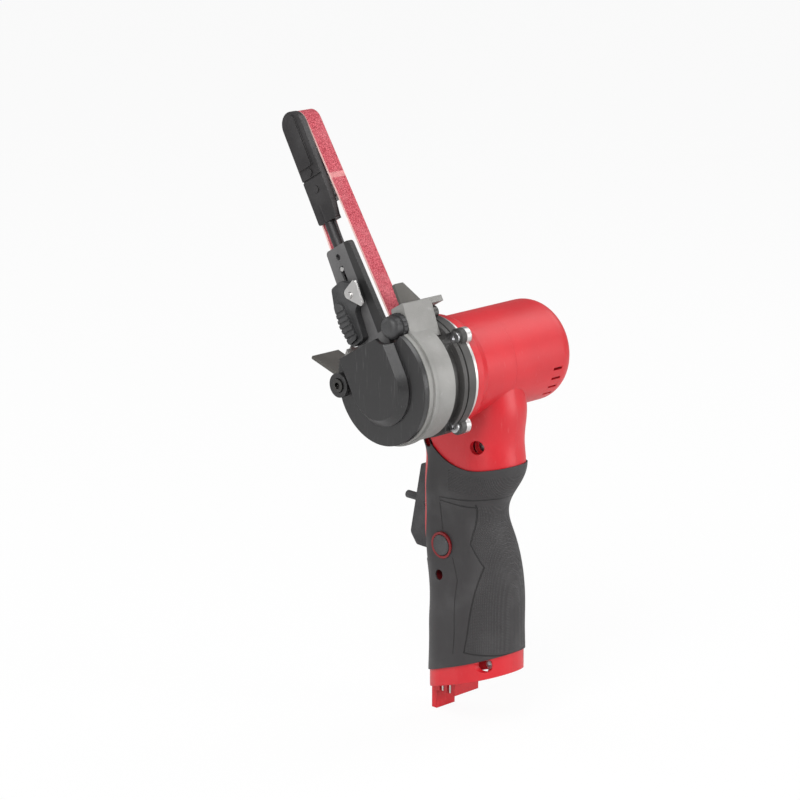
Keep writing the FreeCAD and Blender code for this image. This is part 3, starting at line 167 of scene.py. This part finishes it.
class Wire:
    """A shader socket that takes Python's arithmetic."""

    def __init__(self, paint, socket):
        self.paint = paint
        self.socket = socket

    def _math(self, operation, *values):
        return self.paint.node("ShaderNodeMath", {"operation": operation}, dict(enumerate(values)))

    def __add__(self, other):
        return self._math("ADD", self, other)

    __radd__ = __add__

    def __sub__(self, other):
        return self._math("SUBTRACT", self, other)

    def __rsub__(self, other):
        return self._math("SUBTRACT", other, self)

    def __mul__(self, other):
        return self._math("MULTIPLY", self, other)

    __rmul__ = __mul__

    def __abs__(self):
        return self._math("ABSOLUTE", self)

    def sine(self):
        return self._math("SINE", self)

    def root(self):
        return self._math("SQRT", self)

    def ramp(self, low, high):
        """0 below low, 1 above high, and straight between them."""
        return self.paint.node("ShaderNodeMapRange", {}, {
            "Value": self, "From Min": low, "From Max": high})

    def band(self, low, high):
        """0 below low, 1 above high, and smooth between them."""
        return self.paint.node(
            "ShaderNodeMapRange",
            {"interpolation_type": "SMOOTHSTEP"},
            {"Value": self, "From Min": low, "From Max": high},
        )


class Paint:
    """One material, built from expressions."""

    def __init__(self, name):
        self.material = bpy.data.materials.new(name)
        self.material.use_nodes = True
        self.tree = self.material.node_tree
        self.shader = self.tree.nodes["Principled BSDF"]
        place = self.tree.nodes.new("ShaderNodeTexCoord").outputs["Object"]
        self.place = Wire(self, place)
        parts = self.tree.nodes.new("ShaderNodeSeparateXYZ")
        self.tree.links.new(place, parts.inputs[0])
        self.x, self.y, self.z = [Wire(self, output) for output in parts.outputs]

    def node(self, kind, settings, inputs, output=0):
        """Add a node and give one of its outputs."""
        made = self.tree.nodes.new(kind)
        for key, value in settings.items():
            setattr(made, key, value)
        for key, value in inputs.items():
            self.plug(made.inputs[key], value)
        return Wire(self, made.outputs[output])

    def plug(self, socket, value):
        if isinstance(value, Wire):
            self.tree.links.new(value.socket, socket)
        else:
            socket.default_value = value

    def noise(self, scale, detail=2.0, place=None):
        return self.node("ShaderNodeTexNoise", {}, {
            "Vector": place or self.place, "Scale": scale, "Detail": detail})

    def from_axis(self, y, z):
        """Distance from a line that runs sideways through y and z."""
        back, up = self.y - y, self.z - z
        return (back * back + up * up).root()

    def stretched(self, x, y, z):
        """The object's coordinates, scaled by direction."""
        return self.node("ShaderNodeVectorMath", {"operation": "MULTIPLY"}, {
            0: self.place, 1: (x, y, z)})

    def mix(self, share, one, two):
        """The first colour, moved towards the second by a share."""
        made = self.tree.nodes.new("ShaderNodeMix")
        made.data_type = "RGBA"
        self.plug(made.inputs[0], share)
        for socket, value in ((made.inputs[6], one), (made.inputs[7], two)):
            self.plug(socket, value if isinstance(value, Wire) else (*value, 1))
        return Wire(self, made.outputs[2])

    def arm_across(self):
        return (self.y - AXIS.y) * ACROSS.y + (self.z - AXIS.z) * ACROSS.z

    def arm_along(self):
        return (self.y - AXIS.y) * ALONG.y + (self.z - AXIS.z) * ALONG.z

    def finish(self, colour, roughness, height, depth, metallic=0.0, coat=0.0, edges=None):
        """Set the surface: height stands out by depth, edges is the radius they look rounded to."""
        self.plug(self.shader.inputs["Base Color"],
                  colour if isinstance(colour, Wire) else (*colour, 1))
        self.plug(self.shader.inputs["Roughness"], roughness)
        self.shader.inputs["Metallic"].default_value = metallic
        self.shader.inputs["Coat Weight"].default_value = coat
        self.shader.inputs["Coat Roughness"].default_value = 0.25
        bump = {"Height": height, "Distance": depth, "Strength": 1.0}
        if edges:
            bump["Normal"] = self.node("ShaderNodeBevel", {"samples": 4}, {"Radius": edges},
                                       "Normal")
        self.plug(self.shader.inputs["Normal"], self.node("ShaderNodeBump", {}, bump))
        return self.material


def darker(colour, share):
    """A share of a colour's light."""
    return tuple(channel * share for channel in colour)


def lighter(colour, share):
    """A colour moved towards white."""
    return tuple(channel + (1 - channel) * share for channel in colour)


def moulded_red(colours, sizes):
    """Housing plastic: fine spark-eroded grain with a slight mottling, and painted shade at the
    screw holes.
    """
    paint = Paint("moulded_red")
    grain = paint.noise(2600, 3)
    cloud = paint.noise(45, 4)
    scuff = paint.noise(900, 6, paint.stretched(1, 1, 0.25)).band(0.62, 0.75)
    base = tuple(colours.housing)
    colour = paint.mix(cloud.band(0.3, 0.7), darker(base, 0.9), base)
    colour = paint.mix(scuff * 0.12, colour, lighter(base, 0.25))
    ring = 1 - paint.from_axis(BUTTON.y, BUTTON.z).band(BUTTON_RING_R, BUTTON_RING_R + 0.2 * MM)
    colour = paint.mix(ring, colour, darker(base, 0.30))
    # Painted shade: round each screw axis the red is made nearly black, on both sides of the
    # housing, also where no hole opens
    for back, height in SCREW_PLACES:
        from_screw = paint.from_axis(back * MM, height * MM)
        depth = 1 - from_screw.band(SCREW_HOLE_R, SCREW_HOLE_R + 0.4 * MM)
        colour = paint.mix(depth * 0.9, colour, darker(base, 0.04))
    rough = 0.36 + grain * 0.16 + scuff * 0.08
    return paint.finish(colour, rough, grain, 0.00006, edges=sizes.edge_softness)


def stepped_line(height, points):
    """How far back a line stands at each height: points are (back, height) in millimetres."""
    back = points[0][0] * MM
    for (back_low, low), (back_high, high) in zip(points, points[1:]):
        back = back + height.ramp(low * MM, high * MM) * ((back_high - back_low) * MM)
    return back


def grip_rubber(colours, sizes):
    """Overmould: matt rubber with moulded lines, finely knurled at the back of the hand; painted
    shade in the grooves and a painted highlight on the knurl's raised points.
    """
    paint = Paint("grip_rubber")
    base = tuple(colours.grip)
    y, z = paint.y, paint.z

    def groove(distance):
        return 1 - abs(distance).band(LINE_WIDTH * 0.35, LINE_WIDTH)

    def between(value, low, high, soft=0.6):
        start = value.band((low - soft) * MM, (low + soft) * MM)
        return start * (1 - value.band((high - soft) * MM, (high + soft) * MM))

    knurl_edge = y - stepped_line(z, KNURL_LINE)
    knurl_foot = z - 19.6 * MM + (y - 10.0 * MM) * 0.06
    neck_bead = z - 95.8 * MM - (y - 1.5 * MM) * 0.105
    lines = groove(knurl_edge) * between(z, 19.4, 94.0)
    lines = lines + groove(y - stepped_line(z, MIDDLE_LINE)) * between(z, 17.6, 65.4)
    lines = lines + groove(y - stepped_line(z, FINGER_LINE)) * between(z, 77.5, 91.6)
    lines = lines + groove(z - 92.8 * MM) * between(y, -11.4, 10.8)
    lines = lines + groove(neck_bead) * between(y, -12.0, 24.0)
    lines = lines + groove(knurl_foot) * between(y, 9.8, 40.0)

    patch = knurl_edge.band(0.4 * MM, 1.0 * MM) * between(z, 20.2, 93.5)
    patch = patch + between(z, 99.0, 110.0) * y.band(-6.0 * MM, -5.0 * MM)
    turns = 2 * math.pi / KNURL_PITCH
    knurl = ((z + y) * turns).sine() * ((z - y) * turns).sine()
    knurl = knurl.band(-0.1, 0.7) * patch

    fine = paint.noise(3400, 3)
    worn = paint.noise(60, 5).band(0.45, 0.75)
    colour = paint.mix(worn * 0.4, base, lighter(base, 0.03))
    # Painted highlight: the knurl's raised points are made lighter
    colour = paint.mix(knurl * 0.6, colour, lighter(base, 0.035))
    # Painted shade: the moulded grooves are made darker
    colour = paint.mix(lines, colour, darker(base, 0.25))
    height = fine * 0.14 + knurl * 0.9 - lines * 2.4
    rough = 0.52 + fine * 0.14 - worn * 0.06 + patch * 0.08
    return paint.finish(colour, rough, height, 0.00024, edges=0.0006)


def gloss_black(colours, sizes):
    """Pulley cover: smooth dark plastic with fine hairline scratches."""
    paint = Paint("gloss_black")
    base = tuple(colours.cover)
    hair = paint.noise(1500, 5, paint.stretched(1, 1, 0.06)).band(0.6, 0.72)
    haze = paint.noise(70, 4)
    grain = paint.noise(3000, 2)
    colour = paint.mix(hair * 0.25, base, lighter(base, 0.12))
    rough = 0.27 + haze * 0.12 + hair * 0.12
    return paint.finish(colour, rough, grain + hair * 0.3, 0.00003, coat=0.15,
                        edges=sizes.edge_softness)


def textured_black(name, base, sizes, rough=0.5):
    """Control plastic: a leather-like moulded texture."""
    paint = Paint(name)
    pebble = paint.node("ShaderNodeTexVoronoi", {"feature": "SMOOTH_F1"}, {
        "Vector": paint.place, "Scale": 1500.0, "Smoothness": 0.6}, "Distance")
    cloud = paint.noise(80, 4)
    colour = paint.mix(cloud.band(0.3, 0.75), base, lighter(base, 0.03))
    return paint.finish(colour, rough + pebble * 0.15, pebble, 0.0001, edges=sizes.edge_softness)


def cast_gray(colours, sizes):
    """Head casting: light coat over a slightly pitted casting, rubbed brighter in places."""
    paint = Paint("cast_gray")
    base = tuple(colours.casting)
    pits = paint.noise(1400, 5)
    cloud = paint.noise(50, 4)
    rub = paint.noise(260, 6).band(0.6, 0.8)
    colour = paint.mix(cloud.band(0.3, 0.7), darker(base, 0.88), lighter(base, 0.04))
    colour = paint.mix(rub * 0.35, colour, lighter(base, 0.2))
    return paint.finish(colour, 0.42 + pits * 0.2, pits, 0.00012, metallic=0.25,
                        edges=sizes.edge_softness)


def coated_metal(name, base, sizes, sheen=0.35, shade_belt_side=False):
    """Arm, fins and collar: satin coat; on the bracket the side towards the belt gets painted
    shade, nearly black.
    """
    paint = Paint(name)
    peel = paint.noise(1100, 4)
    streak = paint.noise(700, 5, paint.stretched(1, 0.2, 0.2)).band(0.6, 0.8)
    cloud = paint.noise(60, 4)
    colour = paint.mix(cloud.band(0.3, 0.7), darker(base, 0.85), lighter(base, 0.015))
    colour = paint.mix(streak * 0.2, colour, lighter(base, 0.08))
    if shade_belt_side:
        # Painted shade: past a distance across the arm towards the belt, the bracket's coat is made
        # nearly black
        soft = 0.2 * MM
        painted_belt_side_shade = paint.arm_across().band(BRACKET_SHADE_PAST - soft, BRACKET_SHADE_PAST + soft)
        painted_belt_side_shade = painted_belt_side_shade * paint.arm_along().band(BRACKET_SHADE_FROM, BRACKET_SHADE_FROM + 0.5 * MM)
        colour = paint.mix(painted_belt_side_shade, colour, darker(base, 0.22))
    return paint.finish(colour, sheen + peel * 0.18 + streak * 0.05, peel, 0.00007,
                        metallic=0.35, edges=sizes.edge_softness)


def brushed(name, base, along=(1.0, 1.0, 1.0), rough=0.24):
    """Bright metal with grinding lines stretched one way."""
    paint = Paint(name)
    lines = paint.noise(2200, 5, paint.stretched(*along))
    cloud = paint.noise(90, 4)
    colour = paint.mix(cloud.band(0.35, 0.7), darker(base, 0.86), base)
    return paint.finish(colour, rough + lines * 0.16, lines, 0.00004, metallic=1.0,
                        edges=0.0002)


def turned(name, base, centre):
    """Lathe-turned metal: fine rings round a centre."""
    paint = Paint(name)
    rings = (paint.from_axis(centre.y, centre.z) * 9000).sine() * 0.5 + 0.5
    cloud = paint.noise(120, 4)
    colour = paint.mix(cloud.band(0.35, 0.7), darker(base, 0.85), base)
    return paint.finish(colour, 0.25 + rings * 0.14, rings, 0.00002, metallic=1.0, edges=0.0002)


def laminated(name, base):
    """Stacked sheets of a motor core: lines across the axis."""
    paint = Paint(name)
    sheets = (paint.x * (2 * math.pi / SHEET_PITCH)).sine() * 0.5 + 0.5
    colour = paint.mix(sheets * 0.5, base, darker(base, 0.5))
    return paint.finish(colour, 0.4 + sheets * 0.1, sheets, 0.0001, metallic=0.9)


def wound_copper():
    """Windings and contacts: strands of lacquered wire."""
    paint = Paint("wound_copper")
    strands = ((paint.y + paint.z) * (2 * math.pi / STRAND_PITCH)).sine() * 0.5 + 0.5
    colour = paint.mix(strands, (0.28, 0.09, 0.03), (0.62, 0.26, 0.1))
    return paint.finish(colour, 0.3 + strands * 0.1, strands, 0.0002, metallic=0.9)


def grit_cloth(colours):
    """Sanding belt: mottled ceramic grains, with a pale splice and pale cut edges."""
    paint = Paint("grit_cloth")
    base = tuple(colours.belt)
    grains = paint.node("ShaderNodeTexVoronoi", {"feature": "F1"}, {
        "Vector": paint.place, "Scale": 1900.0}, "Distance")
    tint = paint.noise(1500, 4)
    cloud = paint.noise(110, 4)
    edge = abs(paint.x - BELT_MIDDLE).band(BELT_HALF - 0.2 * MM, BELT_HALF - 0.05 * MM)
    colour = paint.mix(tint.band(0.35, 0.65), darker(base, 0.6), lighter(base, 0.08))
    colour = paint.mix(cloud.band(0.4, 0.8) * 0.3, colour, lighter(base, 0.22))
    from_splice = abs(paint.arm_along() - SPLICE_ALONG)
    splice = (1 - from_splice.band(1.1 * MM, 1.7 * MM)) * paint.arm_across().band(0, 2 * MM)
    colour = paint.mix(splice * 0.45, colour, (0.66, 0.36, 0.34))
    colour = paint.mix(edge * 0.8, colour, (0.74, 0.52, 0.48))
    height = grains * (1 - edge) * (1 - splice * 0.6)
    return paint.finish(colour, 0.72 + tint * 0.12, height, 0.0004)


def hand_over(material, *nodes):
    """Give solids of the frame a material."""
    for name in nodes:
        mesh = NODES[name].data
        mesh.materials.clear()
        mesh.materials.append(material)
        for polygon in mesh.polygons:
            polygon.material_index = 0


def add_piece(name, mesh, material, body, replaced):
    """Turn a finished bmesh into a piece that rides on a body."""
    bmesh.ops.recalc_face_normals(mesh, faces=mesh.faces)
    data = bpy.data.meshes.new(name)
    mesh.to_mesh(data)
    mesh.free()
    data.materials.append(material)
    piece = bpy.data.objects.new(name, data)
    bpy.context.scene.collection.objects.link(piece)
    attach(piece, body)
    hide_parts(*replaced)
    return piece


def sweep_loop(mesh, points, normals, profile):
    """Carry a closed profile round a loop of points.

    The profile gives (side, out) pairs, with out along each point's normal.
    """
    loops = []
    for index, (point, normal) in enumerate(zip(points, normals)):
        travel = (points[(index + 1) % len(points)] - points[index - 1]).normalized()
        side = travel.cross(normal).normalized()
        ring = [mesh.verts.new(point + side * a + normal * b) for a, b in profile]
        loops.append([mesh.edges.new((ring[i - 1], ring[i])) for i in range(len(ring))])
    for one, two in zip(loops, loops[1:] + loops[:1]):
        bmesh.ops.bridge_loops(mesh, edges=one + two)


def belt_path(low_r, high_r, distance, step):
    """Points and outward directions round the belt's inner face, in the arm's plane."""
    lean = math.asin((low_r - high_r) / distance)
    path = []

    def arc(centre_l, radius, start, end):
        count = max(8, int(abs(end - start) * radius / step))
        for index in range(count):
            angle = start + (end - start) * index / count
            out = ACROSS * math.cos(angle) + ALONG * math.sin(angle)
            path.append((AXIS + ALONG * centre_l + out * radius, out))

    def run(start, end, out):
        count = int((end - start).length / step)
        for index in range(count):
            path.append((start.lerp(end, index / count), out))

    right = ACROSS * math.cos(lean) + ALONG * math.sin(lean)
    left = -ACROSS * math.cos(lean) + ALONG * math.sin(lean)
    top = AXIS + ALONG * distance
    run(AXIS + right * low_r, top + right * high_r, right)
    arc(distance, high_r, lean, math.pi - lean)
    run(top + left * high_r, AXIS + left * low_r, left)
    arc(0, low_r, math.pi - lean, 2 * math.pi + lean)
    return path


class FILE_OT_housing(bpy.types.Operator):
    """Finish the moulded housing, the rubber grip and the parts in the foot."""

    bl_idname = "belt_file.housing"
    bl_label = "Housing and grip"

    def execute(self, context):
        colours, sizes = context.scene.file_colours, context.scene.file_sizes
        red = moulded_red(colours, sizes)
        hand_over(red, "left_housing_shell", "right_housing_shell", "terminal_block")
        hand_over(grip_rubber(colours, sizes), "left_grip_overmould", "right_grip_overmould")
        hand_over(brushed("contact_metal", (0.75, 0.74, 0.7)), "battery_terminals")
        return {"FINISHED"}


class FILE_OT_controls(bpy.types.Operator):
    """Finish the trigger, lock-off lever, direction button and switch."""

    bl_idname = "belt_file.controls"
    bl_label = "Controls"

    def execute(self, context):
        sizes = context.scene.file_sizes
        black = textured_black("control_black", (0.022, 0.022, 0.024), sizes)
        hand_over(black, "trigger", "lock_off_lever", "direction_button", "switch_body",
                  "switch_plunger", "control_board")
        return {"FINISHED"}


class FILE_OT_motor(bpy.types.Operator):
    """Finish the motor, its bearings, the pulley and the fasteners."""

    bl_idname = "belt_file.motor"
    bl_label = "Motor and drive"

    def execute(self, context):
        sizes = context.scene.file_sizes
        steel = brushed("zinc_steel", (0.62, 0.62, 0.63))
        hand_over(steel, "housing_screws", "flange_screws", "trigger_pivot_pin", "lock_off_pin",
                  "rear_bearing", "front_bearing", "spindle_bearing", "rotor_shaft")
        hand_over(laminated("core_sheets", (0.3, 0.3, 0.32)), "stator_core", "rotor_core")
        hand_over(wound_copper(), "stator_windings")
        hand_over(textured_black("fan_black", (0.03, 0.03, 0.032), sizes), "cooling_fan")
        hand_over(turned("turned_pulley", (0.6, 0.6, 0.61), AXIS), "drive_pulley", "pulley_screw")
        hand_over(turned("turned_roller", (0.6, 0.6, 0.61), NOSE_AXIS), "nose_roller",
                  "roller_bearing")
        hand_over(brushed("flange_alloy", (0.62, 0.61, 0.6), rough=0.3), "front_flange")
        return {"FINISHED"}


class FILE_OT_head(bpy.types.Operator):
    """Finish the casting, collar, cover and spark fins."""

    bl_idname = "belt_file.head"
    bl_label = "Belt head"

    def execute(self, context):
        colours, sizes = context.scene.file_colours, context.scene.file_sizes
        hand_over(cast_gray(colours, sizes), "head_housing")
        hand_over(gloss_black(colours, sizes), "pulley_cover")
        hand_over(coated_metal("collar_coat", (0.05, 0.048, 0.046), sizes, 0.4), "swivel_collar")
        hand_over(coated_metal("fin_coat", (0.085, 0.08, 0.072), sizes, 0.4),
                  "lower_spark_deflector", "upper_spark_deflector")
        dark = brushed("dark_screw", (0.09, 0.088, 0.085), rough=0.3)
        hand_over(dark, "cover_screw", "head_clamp_screw", "bracket_screws")
        return {"FINISHED"}


class FILE_OT_arm(bpy.types.Operator):
    """Finish the arm bracket, lever, knob, rod and nose."""

    bl_idname = "belt_file.arm"
    bl_label = "Arm"

    def execute(self, context):
        colours, sizes = context.scene.file_colours, context.scene.file_sizes
        arm = tuple(colours.arm)
        hand_over(coated_metal("arm_coat", arm, sizes), "nose_face_plate", "nose_frame",
                  "guide_rod", "nose_rivets")
        hand_over(coated_metal("bracket_coat", lighter(arm, 0.10), sizes, shade_belt_side=True),
                  "arm_bracket")
        black = textured_black("lever_black", (0.02, 0.02, 0.021), sizes, 0.42)
        hand_over(black, "release_lever", "tracking_knob")
        bright = brushed("bright_steel", (0.68, 0.67, 0.66), (1, 0.3, 0.3))
        hand_over(bright, "lever_cam_plate", "guide_pin", "tension_spring",
                  "lever_pivot_pin", "tracking_stud", "roller_pin", "belt_platens")
        return {"FINISHED"}


class FILE_OT_belt(bpy.types.Operator):
    """Make the belt: a loop of cloth whose outer face is roughened by the grit."""

    bl_idname = "belt_file.belt"
    bl_label = "Sanding belt"

    def execute(self, context):
        colours, sizes = context.scene.file_colours, context.scene.file_sizes
        path = belt_path(PULLEY_R + BELT_GAP, ROLLER_R + BELT_GAP, NOSE_L, BELT_STEP)
        width = 2 * BELT_HALF
        top = sizes.belt_thickness * CLOTH_SHARE
        inner = [(BELT_HALF, 0.0), (-BELT_HALF, 0.0)]
        outer = [(-BELT_HALF + width * i / BELT_ROWS, top) for i in range(BELT_ROWS + 1)]
        points = [point + Vector((BELT_MIDDLE, 0, 0)) for point, _ in path]
        mesh = bmesh.new()
        sweep_loop(mesh, points, [out for _, out in path], inner + outer)
        for vert in mesh.verts:
            _, out = min(path[::24], key=lambda item: (item[0] - vert.co).length_squared)
            if abs(vert.co.x - BELT_MIDDLE) < BELT_HALF * 0.99:
                vert.co += out * sizes.grit_height * 0.4 * noise.noise(vert.co * 1800)
        belt = add_piece("grit_belt", mesh, grit_cloth(colours), "head",
                         ["sanding_belt"])
        for polygon in belt.data.polygons:
            polygon.use_smooth = False
        return {"FINISHED"}


def show_white(tree, usual, output, kind, share):
    """The camera sees a share of plain white, and light and reflections see the usual surface."""
    white = tree.nodes.new(kind)
    white.inputs[0].default_value = (1, 1, 1, 1)
    white.inputs[1].default_value = 1.0
    path = tree.nodes.new("ShaderNodeLightPath")
    factor = tree.nodes.new("ShaderNodeMath")
    factor.operation = "MULTIPLY"
    factor.inputs[1].default_value = share
    mix = tree.nodes.new("ShaderNodeMixShader")
    tree.links.new(path.outputs["Is Camera Ray"], factor.inputs[0])
    tree.links.new(factor.outputs[0], mix.inputs[0])
    tree.links.new(usual, mix.inputs[1])
    tree.links.new(white.outputs[0], mix.inputs[2])
    tree.links.new(mix.outputs[0], output)


def add_floor(scene):
    floor = bmesh.new()
    bmesh.ops.create_grid(floor, x_segments=1, y_segments=1, size=FLOOR_SIZE)
    bmesh.ops.translate(floor, verts=floor.verts, vec=(0, 0, CAD_BOX[0].z - FLOOR_GAP))
    data = bpy.data.meshes.new("floor")
    floor.to_mesh(data)
    floor.free()
    ground = bpy.data.objects.new("floor", data)
    scene.collection.objects.link(ground)
    material = bpy.data.materials.new("floor_white")
    material.use_nodes = True
    tree = material.node_tree
    shader = tree.nodes["Principled BSDF"]
    shader.inputs["Base Color"].default_value = (0.8, 0.8, 0.8, 1)
    shader.inputs["Roughness"].default_value = 0.9
    data.materials.append(material)
    show_white(tree, shader.outputs[0], tree.nodes["Material Output"].inputs[0],
               "ShaderNodeEmission", FLOOR_WHITE)


def add_world(scene):
    scene.world = bpy.data.worlds.new("studio")
    scene.world.use_nodes = True
    tree = scene.world.node_tree
    back = tree.nodes["Background"]
    back.inputs[0].default_value = (1, 1, 1, 1)
    back.inputs[1].default_value = WORLD_LIGHT
    show_white(tree, back.outputs[0], tree.nodes["World Output"].inputs[0],
               "ShaderNodeBackground", 1.0)


def add_lamps(scene):
    for name, place, size, power in LAMPS:
        lamp = bpy.data.lights.new(name, "AREA")
        lamp.size = size
        lamp.energy = power
        holder = bpy.data.objects.new(name, lamp)
        holder.location = place
        holder.rotation_euler = (LAMP_AIM - Vector(place)).to_track_quat("-Z", "Y").to_euler()
        scene.collection.objects.link(holder)


def add_camera(scene):
    camera = bpy.data.cameras.new("camera")
    camera.lens = 150
    camera.sensor_width = 36
    holder = bpy.data.objects.new("camera", camera)
    back_way = Vector((math.sin(CAMERA_TURN) * math.cos(CAMERA_RISE),
                       -math.cos(CAMERA_TURN) * math.cos(CAMERA_RISE),
                       math.sin(CAMERA_RISE)))
    distance = PICTURE_WIDTH * camera.lens / camera.sensor_width
    holder.location = CAMERA_AIM + back_way * distance
    holder.rotation_mode = "QUATERNION"
    holder.rotation_quaternion = (-back_way).to_track_quat("-Z", "Y")
    scene.collection.objects.link(holder)
    scene.camera = holder


class FILE_OT_stage(bpy.types.Operator):
    """Make the floor, the world, the lamps and the camera."""

    bl_idname = "belt_file.stage"
    bl_label = "Stage"

    def execute(self, context):
        scene = context.scene
        add_floor(scene)
        add_world(scene)
        add_lamps(scene)
        add_camera(scene)
        scene.view_settings.view_transform = "Standard"
        return {"FINISHED"}


OPERATORS = (
    FILE_OT_housing,
    FILE_OT_controls,
    FILE_OT_motor,
    FILE_OT_head,
    FILE_OT_arm,
    FILE_OT_belt,
    FILE_OT_stage,
)


class FILE_PT_panel(bpy.types.Panel):
    """Lists the steps that dress the file."""

    bl_idname = "FILE_PT_panel"
    bl_label = "Belt file"
    bl_space_type = "VIEW_3D"
    bl_region_type = "UI"
    bl_category = "Belt file"

    def draw(self, context):
        for operator in OPERATORS:
            self.layout.operator(operator.bl_idname)


CLASSES = (FileSizes, FileColours, *OPERATORS, FILE_PT_panel)


def register():
    for item in CLASSES:
        bpy.utils.register_class(item)
    bpy.types.Scene.file_sizes = PointerProperty(type=FileSizes)
    bpy.types.Scene.file_colours = PointerProperty(type=FileColours)


def unregister():
    del bpy.types.Scene.file_colours
    del bpy.types.Scene.file_sizes
    for item in reversed(CLASSES):
        bpy.utils.unregister_class(item)


def main():
    register()
    for operator in OPERATORS:
        group, name = operator.bl_idname.split(".")
        getattr(getattr(bpy.ops, group), name)()


if __name__ == "__main__":
    main()
